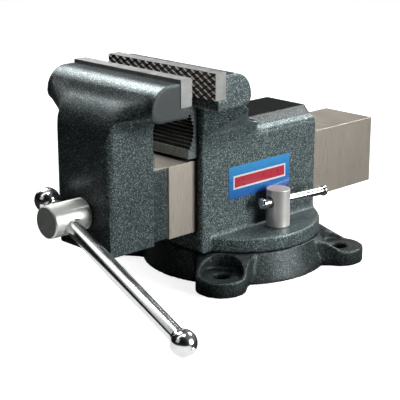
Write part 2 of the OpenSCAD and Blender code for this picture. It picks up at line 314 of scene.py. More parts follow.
def cad_copy(name, node):
    """A closed copy of a CAD node's mesh."""
    bm = bmesh.new()
    bm.from_mesh(NODES[node].data)
    bmesh.ops.remove_doubles(bm, verts=bm.verts, dist=0.002 * MM)
    return from_bmesh(name, bm)


def inside(points, x=(-FAR, FAR), y=(-FAR, FAR), z=(-FAR, FAR)):
    """1 for each point inside the ranges, and 0 for the others."""
    keep = np.ones(len(points), dtype=bool)
    for axis, (a, b) in enumerate((x, y, z)):
        keep &= (points[:, axis] > a) & (points[:, axis] < b)
    return keep.astype(float)


def ends_kept_sharp(points):
    """Holds rounding back at the flat ends of the jaws."""
    return np.where(np.abs(points[:, 0]) > JAW_HALF - END_MARGIN, 0.15, 1)


def base_casting():
    obj = cad_copy("base_casting", "swivel_base")
    # The machined middle of the base keeps its edges.
    filled_from = 84 * MM
    rounded_from = 74 * MM

    def in_pocket(points):
        near = np.zeros(len(points), dtype=bool)
        for x, y in BOLTS:
            near |= np.hypot(points[:, 0] - x, points[:, 1] - y) < POCKET_R
        return near & (points[:, 2] > 8 * MM)

    def fill(points):
        from_axis = np.hypot(points[:, 0], points[:, 1])
        clear = inside(points, z=(1 * MM, SEAM_Z - 0.5 * MM)) * (from_axis > filled_from)
        return clear * np.where(in_pocket(points), 0.04, 1)

    def rounding(points):
        from_axis = np.hypot(points[:, 0], points[:, 1])
        clear = np.where(points[:, 2] < 0.6 * MM, 0, 1) * (from_axis > rounded_from)
        return clear * np.where(in_pocket(points), 0.5, 1)

    return cast_surface(obj, 1.1 * MM, 46, fill, rounding)


def grip_room(y0, y1):
    """Cutter that clears the casting where a pipe grip goes in."""
    half = GRIP_HALF + 1 * MM
    return block("cutter", (-half, y0, BAR_HIGH + 2.5 * MM), (half, y1, GRIP_HIGH - 1.2 * MM))


def body_casting():
    obj = cad_copy("body_casting", "fixed_body")
    gap = 0.9 * MM
    tunnel = block("cutter", (-BAR_HALF - gap, -0.12, BAR_LOW - gap),
                   (BAR_HALF + gap, 0.1, BAR_HIGH + gap))
    cut(obj, grip_room(MID_Y + 17 * MM, BODY_FRONT), tunnel)
    # The tunnel, the seat of the plate and the bottom keep their shape, and the fillet of the
    # flange stays small.
    tunnel_low = 45 * MM
    flange_fillet_top = 62 * MM

    def fill(points):
        clear = 1 - inside(points, x=(-37 * MM, 37 * MM), z=(tunnel_low, 130 * MM))
        clear *= 1 - inside(points, y=(-FAR, PLATE_HIGH.y + 1 * MM), z=(SEAT_LOW, FAR))
        clear *= 1 - inside(points, z=(-FAR, SEAM_Z + 0.5 * MM))
        return clear * np.where(points[:, 2] < flange_fillet_top, 0.05, 1)

    def rounding(points):
        clear = 1 - inside(points, x=(-36 * MM, 36 * MM), z=(tunnel_low, 127 * MM))
        clear *= 1 - inside(points, y=(-FAR, PLATE_HIGH.y + 0.6 * MM), z=(JAW_LOW, FAR))
        return clear * ends_kept_sharp(points)

    return cast_surface(obj, 1.4 * MM, 60, fill, rounding)


def arc(radius, degrees, x, y, z):
    """Points of an arc round (y, z), at a fixed X. 0 degrees is straight ahead, and 90 is up."""
    angles = [math.radians(a) for a in degrees]
    return [(x, y - radius * math.cos(a), z + radius * math.sin(a)) for a in angles]


def jaw_shoulders():
    """Swept shoulders from the front of the slab out to the ends of the moving jaw."""
    pieces = []
    for side in (-1, 1):
        roll = arc(49.6 * MM, range(22, 78, 6), side * 31 * MM, -151.2 * MM, 155 * MM)
        end = arc(21.6 * MM, range(-25, 91, 12), side * 71 * MM, -158.8 * MM, 189.7 * MM)
        pieces.append(hull("shoulder", roll + end))
    return pieces


def jaw_casting():
    obj = cad_copy("jaw_casting", "moving_jaw")
    # The machined bar is a piece of its own.
    bar = block("cutter", (-0.1, BAR_FRONT, 0), (0.1, 0.3, 0.15))
    cut(obj, grip_room(-147.4 * MM, MID_Y - 17 * MM), bar)
    neck = block("neck", (-NECK_HALF, -160 * MM, 60 * MM),
                 (NECK_HALF, BAR_FRONT, BAR_HIGH - 0.6 * MM))
    join(obj, neck, *jaw_shoulders())
    seat_back = 2 * MID_Y - PLATE_HIGH.y
    bore_margin = 14 * MM

    def behind_slab(points):
        return inside(points, y=(SLAB_BACK, FAR), z=(-FAR, JAW_LOW))

    def fill(points):
        clear = 1 - inside(points, y=(seat_back - 1 * MM, FAR), z=(SEAT_LOW, FAR))
        return clear * (1 - behind_slab(points))

    def rounding(points):
        clear = 1 - inside(points, y=(seat_back - 0.6 * MM, FAR), z=(JAW_LOW, FAR))
        clear *= ends_kept_sharp(points)
        clear *= 1 - inside(points, x=(-bore_margin, bore_margin),
                            z=(SCREW_Z - bore_margin, SCREW_Z + bore_margin))
        return clear * (1 - 0.85 * behind_slab(points))

    return cast_surface(obj, 1.3 * MM, 70, fill, rounding)


def slide_bar():
    """The machined bar: a hollow section, open below and behind."""
    obj = block("slide_bar", (-BAR_HALF, BAR_FRONT, BAR_LOW), (BAR_HALF, BAR_BACK, BAR_HIGH))
    hollow = block("cutter", (-HOLLOW_HALF, NECK_END, 0),
                   (HOLLOW_HALF, BAR_BACK + 0.01, HOLLOW_TOP))
    bore = turned("cutter", rod_outline(11 * MM, 0, 0.1), (0, NECK_END - 0.05, SCREW_Z), (0, 1, 0))
    cut(obj, hollow, bore)
    soften(obj, 0.7 * MM)
    # The ground top runs on over the painted neck as far as the slab.
    top_half = 31.6 * MM
    top = block("neck_top", (-top_half, -149 * MM, BAR_HIGH - 1 * MM),
                (top_half, BAR_FRONT + 1 * MM, BAR_HIGH))
    soften(top, 0.3 * MM)
    join(obj, top)
    return obj


def grip_outline(face, back):
    """Half of a pipe grip: a hollow arc of teeth, with distances from the middle of the opening."""
    centre = face - GRIP_SET_BACK
    mid_z = (GRIP_LOW + GRIP_HIGH) / 2
    reach = math.degrees(math.acos(GRIP_SET_BACK / GRIP_R))
    outline = [(back, GRIP_LOW), (face, GRIP_LOW)]
    teeth = 10
    root = GRIP_R + 2.2 * MM
    for i in range(teeth + 1):
        a = math.radians(-reach + 2 * reach * i / teeth)
        outline.append((centre + GRIP_R * math.cos(a), mid_z + GRIP_R * math.sin(a)))
        if i < teeth:
            b = a + math.radians(reach / teeth * 0.35)
            outline.append((centre + root * math.cos(b), mid_z + root * math.sin(b)))
    outline += [(face, GRIP_HIGH), (back, GRIP_HIGH)]
    return outline


def pipe_grip(name, side):
    """The toothed block below a jaw plate. Side is 1 on the body and -1 on the moving jaw."""
    face = GRIP_FACE if side > 0 else GRIP_FACE + 5 * MM
    placed = [(MID_Y + side * u, z) for u, z in grip_outline(face, 32 * MM)]
    obj = extruded(name, placed, -GRIP_HALF, GRIP_HALF)
    soften(obj, 0.25 * MM, 2)
    paint(obj, paint_mat, black, lit_teeth_tip)
    hollow_y = MID_Y + side * (face - GRIP_SET_BACK)
    hollow_z = (GRIP_LOW + GRIP_HIGH) / 2
    # The tips of the teeth take light steel as a painted highlight, and their flanks and roots
    # black as painted shade.
    for poly in obj.data.polygons:
        away = math.hypot(poly.center.y - hollow_y, poly.center.z - hollow_z)
        in_arc = away < GRIP_R + 3 * MM and abs(poly.center.y - hollow_y) > GRIP_SET_BACK
        if in_arc and abs(poly.normal.x) < 0.5:
            poly.material_index = 2 if away < GRIP_R + 0.25 * MM else 1
    return obj


# ---- jaw plates ----

def groove_tile(width, height, depth, groove):
    """One tile of the gripping face, cut by two grooves along its diagonals."""
    bm = bmesh.new()
    bm.faces.new([bm.verts.new((u, 0, v)) for u, v in ((0, 0), (1, 0), (1, 1), (0, 1))])
    for sign in (-1, 1):
        for shift in (-groove, 0, groove):
            # The lines u - v = shift, and u + v = 1 + shift.
            point = (0.5 + shift / 2, 0, 0.5 + sign * shift / 2)
            bmesh.ops.bisect_plane(bm, geom=bm.verts[:] + bm.edges[:] + bm.faces[:], dist=1e-6,
                                   plane_co=point, plane_no=(1, 0, sign))
    for v in bm.verts:
        u, w = v.co.x, v.co.z
        gap = min(abs(u - w), abs(u + w - 1))
        v.co = Vector((u * width, depth * max(0, 1 - gap / groove), w * height))
    return bm


def gripping_y(side):
    """Where the gripping face of a plate is. Side is 1 on the body and -1 on the moving jaw."""
    return PLATE_LOW.y if side > 0 else 2 * MID_Y - PLATE_LOW.y


def jaw_plate(name, side):
    """A plate whose gripping face is cut by two sets of crossed grooves."""
    across, up = 14, 4
    tile_w = 2 * JAW_HALF / across
    tile_h = (PLATE_HIGH.z - PLATE_LOW.z) / up
    bm = groove_tile(tile_w, tile_h, 0.9 * MM, 0.15)
    tile = bm.verts[:] + bm.edges[:] + bm.faces[:]
    for i in range(across):
        for k in range(up):
            if i or k:
                new = bmesh.ops.duplicate(bm, geom=tile)["geom"]
                bmesh.ops.translate(bm, vec=(i * tile_w, 0, k * tile_h), verts=only_verts(new))
    bmesh.ops.remove_doubles(bm, verts=bm.verts, dist=0.01 * MM)
    rim = [e for e in bm.edges if e.is_boundary]
    walls = bmesh.ops.extrude_edge_only(bm, edges=rim)["geom"]
    for v in only_verts(walls):
        v.co.y = PLATE_HIGH.y - PLATE_LOW.y
    bmesh.ops.contextual_create(bm, geom=[e for e in bm.edges if e.is_boundary])
    for v in bm.verts:
        v.co += Vector((-JAW_HALF, PLATE_LOW.y, PLATE_LOW.z))
        if side < 0:
            v.co.y = 2 * MID_Y - v.co.y
    obj = from_bmesh(name, bm)
    screws = "fixed_plate_screws" if side > 0 else "moving_plate_screws"
    screw_inset = 5 * MM
    for x in (low(screws).x + screw_inset, high(screws).x - screw_inset):
        at = (x, gripping_y(side) - side * 1 * MM, middle(screws).z)
        cut(obj, turned("cutter", rod_outline(5.3 * MM, 0, 8.5 * MM), at, (0, side, 0), 48),
            turned("cutter", rod_outline(3.2 * MM, 0, 0.02), at, (0, side, 0), 48))
    return obj


def paint_plate(plate, side):
    """Ground sides and a dark gripping face; the groove walls that fall to the right are painted
    bright as a painted highlight, and the others black as painted shade.
    """
    paint(plate, plate_steel, teeth_mat, lit_groove_mat, black)
    for poly in plate.data.polygons:
        depth = abs(poly.center.y - gripping_y(side))
        if depth < 0.75 * MM and poly.normal.y * side < -0.3:
            poly.material_index = 1
            if depth > 0.05 * MM:
                # Walls whose normal has x and z of one sign get the painted highlight; the rest get
                # black as painted shade.
                poly.material_index = 2 if poly.normal.x * poly.normal.z > 0 else 3


# ---- screw and handle ----

def screw_head():
    """Round head of the screw, with the cross hole and its worn countersinks."""
    box_low = low("lead_screw")
    radius = (high("lead_screw").x - box_low.x) / 2
    length = SLAB_FRONT - box_low.y
    axis = Vector(JOINTS["handle_slide"]["axis"])
    centre = Vector((0, box_low.y + length / 2, SCREW_Z))
    outline = [(0, 0), (radius - 1.1 * MM, 0), (radius, 1.1 * MM), (radius, length - 1.5 * MM),
               (radius - 1.0 * MM, length - 0.3 * MM), (11 * MM, length), (0, length)]
    obj = turned("screw_head", outline, (0, box_low.y, SCREW_Z), (0, 1, 0), 128)
    mouth = [(0, 10.8 * MM), (7.8 * MM, 10.8 * MM), (11.3 * MM, 15.6 * MM), (0, 15.6 * MM)]
    cross_drill(obj, centre, axis, 7.9 * MM, mouth, 96)
    return soften(obj, 0.5 * MM, 3, 30)


def cross_drill(obj, centre, axis, radius, mouth, steps):
    """Drills a hole right through, with a countersunk mouth at each end."""
    drills = [turned("cutter", rod_outline(radius, -0.03, 0.03), centre, axis, steps)]
    drills += [turned("cutter", mouth, centre, axis * s, steps) for s in (-1, 1)]
    cut(obj, *drills)


def screw_thread():
    """Helical thread of the lead screw, with flat crests and closed ends."""
    start, end = THREAD_START, high("lead_screw").y
    steps = 40
    # Shares of a turn, and the radius that the profile has there.
    profile = ((0.0, THREAD_ROOT_R), (0.14, SHANK_R), (0.46, SHANK_R), (0.60, THREAD_ROOT_R))
    per_turn = len(profile)
    turns = int((end - start) / THREAD_PITCH) + 2
    bm = bmesh.new()
    columns = []
    for i in range(steps):
        a = 2 * math.pi * i / steps
        column = []
        for k in range(-1, turns):
            for phase, r in profile:
                y = start + (k + phase + i / steps) * THREAD_PITCH
                if y <= start or y >= end - 1 * MM:
                    r = THREAD_ROOT_R
                y = min(max(y, start), end)
                column.append(bm.verts.new((r * math.cos(a), y, SCREW_Z + r * math.sin(a))))
        columns.append(column)
    count = len(columns[0])
    for i in range(steps):
        one = columns[i]
        two = columns[i + 1] if i + 1 < steps else None
        for j in range(count - 1):
            if two:
                bm.faces.new((one[j], one[j + 1], two[j + 1], two[j]))
            elif j + per_turn + 1 < count:
                # The last column meets the first one, one turn further on.
                first = columns[0][per_turn:]
                bm.faces.new((one[j], one[j + 1], first[j + 1], first[j]))
    bmesh.ops.remove_doubles(bm, verts=bm.verts, dist=0.001 * MM)
    bmesh.ops.dissolve_degenerate(bm, dist=0.001 * MM, edges=bm.edges)
    obj = from_bmesh("screw_thread", bm)
    shade_by_angle(obj, 30)
    return obj


def shade_by_angle(obj, degrees):
    """Smooth shading that keeps edges sharper than this angle."""
    mesh = obj.data
    shade_smooth(obj)
    bm = bmesh.new()
    bm.from_mesh(mesh)
    limit = math.radians(degrees)
    for e in bm.edges:
        e.smooth = len(e.link_faces) == 2 and e.calc_face_angle(0) < limit
    bm.to_mesh(mesh)
    bm.free()


def screw_shank():
    front, tail = SLAB_FRONT - 1 * MM, THREAD_START + 1.5 * MM
    outline = [(0, front), (SHANK_R, front), (SHANK_R, THREAD_START), (THREAD_ROOT_R, tail),
               (0, tail)]
    obj = turned("screw_shank", outline, (0, 0, SCREW_Z), (0, 1, 0), 96)
    shade_by_angle(obj, 30)
    return obj


def ball(name, node, inward):
    """A pressed ball: a sphere with a short collar round the rod and a small peened tip."""
    radius = 12 * MM
    outline = [(0, -11.75 * MM), (4.2 * MM, -11.7 * MM), (5.0 * MM, -10.9 * MM)]
    steps = 40
    for i in range(6, 31):
        a = math.pi * i / steps
        outline.append((radius * math.sin(a), -radius * math.cos(a)))
    outline += [(8.0 * MM, 8.95 * MM), (7.75 * MM, 10.4 * MM), (0, 10.4 * MM)]
    obj = turned(name, outline, middle(node), inward, 96)
    shade_by_angle(obj, 38)
    return obj


def handle_rod():
    axis = (middle("handle_ball_near") - middle("handle_ball_far")).normalized()
    start = middle("handle_ball_far")
    length = (middle("handle_ball_near") - start).length
    outline = rod_outline(7.5 * MM, 6 * MM, length - 6 * MM)
    obj = turned("handle_bar", outline, start, axis, 96)
    shade_by_angle(obj, 38)
    return obj, axis


# ---- lock nuts ----

def lock_nut(name, node, bar_node, joint):
    box_low, box_high = low(node), high(node)
    centre = middle(node)
    radius = (box_high.x - box_low.x) / 2
    height = box_high.z - box_low.z
    axis = Vector(JOINTS[joint]["axis"])
    outline = [(0, 0), (radius - 0.5 * MM, 0), (radius, 0.5 * MM), (radius, height - 1.3 * MM),
               (radius - 0.4 * MM, height - 0.5 * MM), (radius - 1.4 * MM, height), (0, height)]
    obj = turned(name, outline, (centre.x, centre.y, box_low.z), (0, 0, 1), 96)
    at = Vector((centre.x, centre.y, middle(bar_node).z))
    mouth = [(0, 8.2 * MM), (4.5 * MM, 8.2 * MM), (7.0 * MM, 12.6 * MM), (0, 12.6 * MM)]
    cross_drill(obj, at, axis, 4.6 * MM, mouth, 64)
    return soften(obj, 0.3 * MM, 2, 30)


def lock_bar(name, node, joint):
    axis = Vector(JOINTS[joint]["axis"])
    at, length = span_along(node, axis)
    outline = rod_outline(LOCK_BAR_R, BUTTON_THICK, length - BUTTON_THICK)
    obj = turned(name, outline, at, axis, 64)
    shade_by_angle(obj, 38)
    return obj


def span_along(bar_node, axis):
    """Where the pin through a lock bar starts, and its length, from the bar's CAD box."""
    size = high(bar_node) - low(bar_node)
    length = (size.y - 2 * LOCK_PIN_R * abs(axis.x)) / abs(axis.y)
    return middle(bar_node) - axis * length / 2, length


def lock_buttons(name, bar_node, joint):
    """The domed buttons pressed on to both ends of a lock bar."""
    axis = Vector(JOINTS[joint]["axis"])
    at, length = span_along(bar_node, axis)
    outline = [(0, 0), (2.2 * MM, 0), (BUTTON_R - 1.4 * MM, 0.25 * MM),
               (BUTTON_R - 0.3 * MM, 1.3 * MM), (BUTTON_R, 2.4 * MM),
               (BUTTON_R - 0.2 * MM, 4.0 * MM), (BUTTON_R - 1.1 * MM, BUTTON_THICK),
               (0, BUTTON_THICK)]
    near = turned(name, outline, at, axis, 64)
    far = turned("far_button", outline, at + axis * length, -axis, 64)
    join(near, far)
    shade_by_angle(near, 38)
    return near


def join(obj, *others):
    """Adds the others' meshes to obj's."""
    bm = bmesh.new()
    bm.from_mesh(obj.data)
    for other in others:
        bm.from_mesh(other.data)
        bpy.data.objects.remove(other)
    bm.to_mesh(obj.data)
    bm.free()


# ---- label ----

def side_label():
    """Thin printed film with rounded corners."""
    radius = 1.6 * MM
    y0, y1 = LABEL_LOW.y, LABEL_HIGH.y
    z0, z1 = LABEL_LOW.z, LABEL_HIGH.z
    outline = []
    for cy, cz, first in ((y1 - radius, z1 - radius, 0), (y0 + radius, z1 - radius, 90),
                          (y0 + radius, z0 + radius, 180), (y1 - radius, z0 + radius, 270)):
        for i in range(7):
            a = math.radians(first + 15 * i)
            outline.append((cy + radius * math.cos(a), cz + radius * math.sin(a)))
    obj = extruded("label_film", outline, BODY_SIDE - 0.3 * MM, LABEL_HIGH.x)
    return soften(obj, 0.08 * MM, 2)


# ---- materials ----

def new_material(name, colour, metallic, roughness):
    mat = bpy.data.materials.new(name)
    mat.use_nodes = True
    shader = mat.node_tree.nodes["Principled BSDF"]
    shader.inputs["Base Color"].default_value = (*colour, 1)
    shader.inputs["Metallic"].default_value = metallic
    shader.inputs["Roughness"].default_value = roughness
    return mat, mat.node_tree, shader


def place(tree, scale=(1, 1, 1)):
    """Coordinates in metres on the object, stretched by scale."""
    coords = tree.nodes.new("ShaderNodeTexCoord")
    mapping = tree.nodes.new("ShaderNodeMapping")
    mapping.inputs["Scale"].default_value = scale
    tree.links.new(coords.outputs["Object"], mapping.inputs["Vector"])
    return mapping.outputs["Vector"]


def noise(tree, vector, scale, detail=2.0, rough=0.5):
    node = tree.nodes.new("ShaderNodeTexNoise")
    node.inputs["Scale"].default_value = scale
    node.inputs["Detail"].default_value = detail
    node.inputs["Roughness"].default_value = rough
    tree.links.new(vector, node.inputs["Vector"])
    return node.outputs["Fac"]


def cells(tree, vector, scale):
    """A random value for each of many small cells."""
    node = tree.nodes.new("ShaderNodeTexVoronoi")
    node.inputs["Scale"].default_value = scale
    tree.links.new(vector, node.inputs["Vector"])
    split = tree.nodes.new("ShaderNodeSeparateColor")
    tree.links.new(node.outputs["Color"], split.inputs["Color"])
    return split.outputs["Red"]


def ramp(tree, value, stops):
    node = tree.nodes.new("ShaderNodeValToRGB")
    marks = node.color_ramp.elements
    while len(marks) < len(stops):
        marks.new(0.5)
    for mark, (at, colour) in zip(marks, stops):
        mark.position = at
        mark.color = (*colour, 1) if len(colour) == 3 else colour
    tree.links.new(value, node.inputs["Fac"])
    return node.outputs["Color"]


def grey_ramp(tree, value, stops):
    return ramp(tree, value, [(at, (g, g, g)) for at, g in stops])


def math_node(tree, operation, a, b):
    node = tree.nodes.new("ShaderNodeMath")
    node.operation = operation
    for socket, value in zip(node.inputs, (a, b)):
        if isinstance(value, (int, float)):
            socket.default_value = value
        else:
            tree.links.new(value, socket)
    return node.outputs["Value"]


def mix(tree, factor, a, b, blend="MIX"):
    node = tree.nodes.new("ShaderNodeMix")
    node.data_type = "RGBA"
    node.blend_type = blend
    sockets = (node.inputs["Factor"], node.inputs[6], node.inputs[7])
    for socket, value in zip(sockets, (factor, a, b)):
        if isinstance(value, (int, float)):
            socket.default_value = value
        elif isinstance(value, tuple):
            socket.default_value = (*value, 1)
        else:
            tree.links.new(value, socket)
    return node.outputs[2]


def bump(tree, shader, height, strength, distance):
    node = tree.nodes.new("ShaderNodeBump")
    node.inputs["Strength"].default_value = strength
    node.inputs["Distance"].default_value = distance
    tree.links.new(height, node.inputs["Height"])
    tree.links.new(node.outputs["Normal"], shader.inputs["Normal"])


def crevices(tree, reach):
    """1 on open surfaces, falling towards 0 in corners and gaps narrower than reach."""
    node = tree.nodes.new("ShaderNodeAmbientOcclusion")
    node.samples = 6
    node.inputs["Distance"].default_value = reach
    return node.outputs["AO"]


def edges(tree):
    """Above 0.5 where the surface bends outwards, and below it where it bends inwards."""
    return tree.nodes.new("ShaderNodeNewGeometry").outputs["Pointiness"]


def casting_paint(name, shade, painted_low_shade=False):
    """Dark grey-green paint with fine metallic specks, over the grain of a sand casting.

    Shade scales its lightness, which gives lighter and darker copies of the paint as painted light
    and shade; the flag after it makes the paint darker towards the bench, as painted shade.
    """
    mat, tree, shader = new_material(name, (0.05, 0.065, 0.066), 0.4, 0.4)
    at = place(tree)
    fleck = cells(tree, at, 1450)
    grain = noise(tree, at, 1000, 3, 0.65)
    broad = noise(tree, at, 16, 3, 0.5)
    field = ramp(tree, fleck, [(0.0, (0.012, 0.020, 0.021)), (0.45, (0.075, 0.108, 0.110)),
                               (0.85, (0.17, 0.225, 0.228)), (1.0, (0.55, 0.65, 0.65))])
    colour = mix(tree, 0.7, field, grey_ramp(tree, grain, [(0.36, 0.45), (0.62, 1.0)]), "MULTIPLY")
    colour = mix(tree, 0.4, colour, grey_ramp(tree, broad, [(0.3, 0.62), (0.7, 1.0)]), "MULTIPLY")
    colour = mix(tree, 1.0, colour, (shade, shade, shade), "MULTIPLY")
    # Painted shade: the colour darkens from 145 mm down to 60 mm above the bench.
    if painted_low_shade:
        parts = tree.nodes.new("ShaderNodeSeparateXYZ")
        tree.links.new(at, parts.inputs["Vector"])
        fade = grey_ramp(tree, parts.outputs["Z"], [(0.06, 0.12), (0.145, 1.0)])
        colour = mix(tree, 1.0, colour, fade, "MULTIPLY")
    # Convex edges turn light grey where the grain allows: partly paint worn off the edges, partly a
    # painted highlight along them.
    edge_wear_and_highlight = math_node(tree, "MULTIPLY", grey_ramp(tree, edges(tree), [(0.53, 0.0), (0.60, 1.0)]),
                       grey_ramp(tree, grain, [(0.40, 0.15), (0.55, 0.9)]))
    colour = mix(tree, edge_wear_and_highlight, colour, (0.50, 0.56, 0.56))
    # Painted shade: the colour darkens in corners and in gaps narrower than 16 mm.
    painted_crevice_shade = grey_ramp(tree, crevices(tree, 16 * MM), [(0.35, 0.15), (0.9, 1.0)])
    colour = mix(tree, 1.0, colour, painted_crevice_shade, "MULTIPLY")
    tree.links.new(colour, shader.inputs["Base Color"])
    tree.links.new(grey_ramp(tree, grain, [(0.3, 0.24), (0.7, 0.38)]), shader.inputs["Roughness"])
    height = math_node(tree, "ADD", grain, math_node(tree, "MULTIPLY", fleck, 0.5))
    bump(tree, shader, height, 0.7, 0.28 * MM)
    sheen = shader.inputs["Specular IOR Level"]
    sheen.default_value = 0.45
    # The same painted shade dims the sheen low down.
    if painted_low_shade:
        tree.links.new(math_node(tree, "MULTIPLY", fade, sheen.default_value), sheen)
    return mat


def end_paint():
    """Sawn and painted end of the moving jaw: smooth and plain."""
    mat, tree, shader = new_material("jaw_end", (0.05, 0.062, 0.063), 0.0, 0.5)
    at = place(tree)
    fine = noise(tree, at, 700, 3, 0.6)
    colour = ramp(tree, fine, [(0.3, (0.036, 0.046, 0.047)), (0.7, (0.062, 0.077, 0.078))])
    tree.links.new(colour, shader.inputs["Base Color"])
    tree.links.new(grey_ramp(tree, fine, [(0.3, 0.42), (0.7, 0.58)]), shader.inputs["Roughness"])
    bump(tree, shader, fine, 0.3, 0.12 * MM)
    return mat


def anvil_paint():
    """The same paint on the flat anvil face: smoother, darker and without specks."""
    mat, tree, shader = new_material("anvil_face", (0.01, 0.012, 0.012), 0.0, 0.4)
    at = place(tree)
    broad = noise(tree, at, 90, 4, 0.6)
    colour = ramp(tree, broad, [(0.3, (0.008, 0.010, 0.010)), (0.7, (0.020, 0.022, 0.022))])
    tree.links.new(colour, shader.inputs["Base Color"])
    tree.links.new(grey_ramp(tree, broad, [(0.3, 0.34), (0.7, 0.5)]), shader.inputs["Roughness"])
    shader.inputs["Specular IOR Level"].default_value = 0.1
    bump(tree, shader, noise(tree, at, 900, 2), 0.25, 0.15 * MM)
    return mat


def ground_steel(name, colour, across, along, rough=0.36):
    """Ground steel: fine scratches, stretched by the two scales, and a faint warm cast."""
    mat, tree, shader = new_material(name, colour, 0.9, rough)
    lines = noise(tree, place(tree, across), 1.0, 3, 0.65)
    patches = noise(tree, place(tree, along), 1.0, 3, 0.55)
    dark = tuple(c * 0.72 for c in colour)
    light = tuple(min(c * 1.15, 1) for c in colour)
    tone = ramp(tree, lines, [(0.25, dark), (0.5, colour), (0.8, light)])
    tone = mix(tree, 0.5, tone, grey_ramp(tree, patches, [(0.3, 0.78), (0.7, 1.0)]), "MULTIPLY")
    tree.links.new(tone, shader.inputs["Base Color"])
    sheen = grey_ramp(tree, lines, [(0.2, rough - 0.08), (0.8, rough + 0.12)])
    tree.links.new(sheen, shader.inputs["Roughness"])
    bump(tree, shader, lines, 0.18, 0.08 * MM)
    return mat


def serration_steel():
    """Dark gripping face; the bright groove walls beside it are a painted highlight."""
    mat, tree, shader = new_material("serration", (0.2, 0.2, 0.18), 0.85, 0.4)
    at = place(tree)
    patch = noise(tree, at, 260, 3)
    tone = ramp(tree, patch, [(0.3, (0.09, 0.088, 0.08)), (0.7, (0.22, 0.215, 0.195))])
    tree.links.new(tone, shader.inputs["Base Color"])
    tree.links.new(grey_ramp(tree, patch, [(0.3, 0.4), (0.7, 0.6)]), shader.inputs["Roughness"])
    bump(tree, shader, noise(tree, at, 1400, 2), 0.2, 0.1 * MM)
    return mat


def lit_groove_paint():
    """Near-white groove walls: a painted highlight for the walls that catch the light."""
    mat, tree, shader = new_material("groove", (0.8, 0.79, 0.75), 0.2, 0.45)
    at = place(tree)
    patch = noise(tree, at, 600, 2)
    tone = ramp(tree, patch, [(0.3, (0.8, 0.79, 0.76)), (0.7, (1.0, 0.99, 0.95))])
    tree.links.new(tone, shader.inputs["Base Color"])
    return mat


def bright_plating(name, colour, rough, wear=0.0, metallic=1.0):
    """Chrome or zinc: smooth metal with faint smears, pits and a little waviness."""
    mat, tree, shader = new_material(name, colour, metallic, rough)
    at = place(tree)
    smear = noise(tree, at, 55, 4, 0.6)
    pits = noise(tree, at, 1600, 2, 0.5)
    dull = tuple(c * (0.86 - wear) for c in colour)
    tree.links.new(ramp(tree, smear, [(0.3, dull), (0.65, colour)]), shader.inputs["Base Color"])
    tree.links.new(grey_ramp(tree, smear, [(0.25, rough), (0.75, rough + 0.07 + wear * 0.5)]),
                   shader.inputs["Roughness"])
    height = math_node(tree, "ADD", math_node(tree, "MULTIPLY", smear, 2.0),
                       math_node(tree, "MULTIPLY", pits, 0.3))
    bump(tree, shader, height, 0.03 + wear, 0.12 * MM)
    return mat


def dark_steel(name, colour, rough, metallic=0.8, spread=0.45):
    """Oiled or blackened steel and bare castings, mottled by spread."""
    mat, tree, shader = new_material(name, colour, metallic, rough)
    at = place(tree)
    patch = noise(tree, at, 180, 4, 0.6)
    dark = tuple(c * (1 - spread) for c in colour)
    light = tuple(min(c * (1 + spread), 1) for c in colour)
    tree.links.new(ramp(tree, patch, [(0.3, dark), (0.7, light)]), shader.inputs["Base Color"])
    sheen = grey_ramp(tree, patch, [(0.3, rough - 0.1), (0.7, rough + 0.12)])
    tree.links.new(sheen, shader.inputs["Roughness"])
    bump(tree, shader, noise(tree, at, 900, 3), 0.3, 0.15 * MM)
    return mat


def label_print():
    """Blue film with one plain red band edged in white."""
    mat, tree, shader = new_material("label_film", (0.02, 0.16, 0.5), 0.0, 0.32)
    at = place(tree)
    split = tree.nodes.new("ShaderNodeSeparateXYZ")
    tree.links.new(at, split.inputs["Vector"])
    size = LABEL_HIGH - LABEL_LOW
    rise = math_node(tree, "SUBTRACT", split.outputs["Z"], LABEL_LOW.z)
    up = math_node(tree, "DIVIDE", rise, size.z)
    run = math_node(tree, "SUBTRACT", split.outputs["Y"], LABEL_LOW.y)
    back = math_node(tree, "DIVIDE", run, size.y)
    field = ramp(tree, up, [(0.0, (0.012, 0.13, 0.46)), (0.5, (0.02, 0.22, 0.60)),
                            (1.0, (0.05, 0.36, 0.76))])
    from_middle = math_node(tree, "ABSOLUTE", math_node(tree, "SUBTRACT", up, 0.5), 0)
    from_centre = math_node(tree, "ABSOLUTE", math_node(tree, "SUBTRACT", back, 0.5), 0)
    white = inside_band(tree, from_middle, 0.21, from_centre, 0.43)
    red = inside_band(tree, from_middle, 0.155, from_centre, 0.41)
    colour = mix(tree, white, field, (0.85, 0.86, 0.88))
    colour = mix(tree, red, colour, (0.55, 0.03, 0.06))
    fade = noise(tree, at, 320, 3)
    colour = mix(tree, 0.25, colour, grey_ramp(tree, fade, [(0.3, 0.7), (0.7, 1.0)]), "MULTIPLY")
    tree.links.new(colour, shader.inputs["Base Color"])
    tree.links.new(grey_ramp(tree, fade, [(0.3, 0.25), (0.7, 0.42)]), shader.inputs["Roughness"])
    bump(tree, shader, noise(tree, at, 420, 2), 0.12, 0.1 * MM)
    shader.inputs["Coat Weight"].default_value = 0.4
    return mat


def inside_band(tree, a, a_limit, b, b_limit):
    """1 where both values are below their limits, and 0 elsewhere."""
    first = math_node(tree, "LESS_THAN", a, a_limit)
    second = math_node(tree, "LESS_THAN", b, b_limit)
    return math_node(tree, "MULTIPLY", first, second)


def paint(obj, *materials):
    """Gives an object these materials in place of its own."""
    obj.data.materials.clear()
    for mat in materials:
        obj.data.materials.append(mat)


# ---- stage ----

def area_light(name, at, towards, size, power):
    light = bpy.data.lights.new(name, "AREA")
    light.shape = "RECTANGLE"
    light.size, light.size_y = size
    light.energy = power
    obj = bpy.data.objects.new(name, light)
    obj.location = at
    obj.rotation_euler = (Vector(towards) - Vector(at)).to_track_quat("-Z", "Y").to_euler()
    bpy.context.scene.collection.objects.link(obj)
    return obj


def card(*description):
    """An area light that only reflections see."""
    obj = area_light(*description)
    obj.visible_diffuse = False
    obj.visible_camera = False


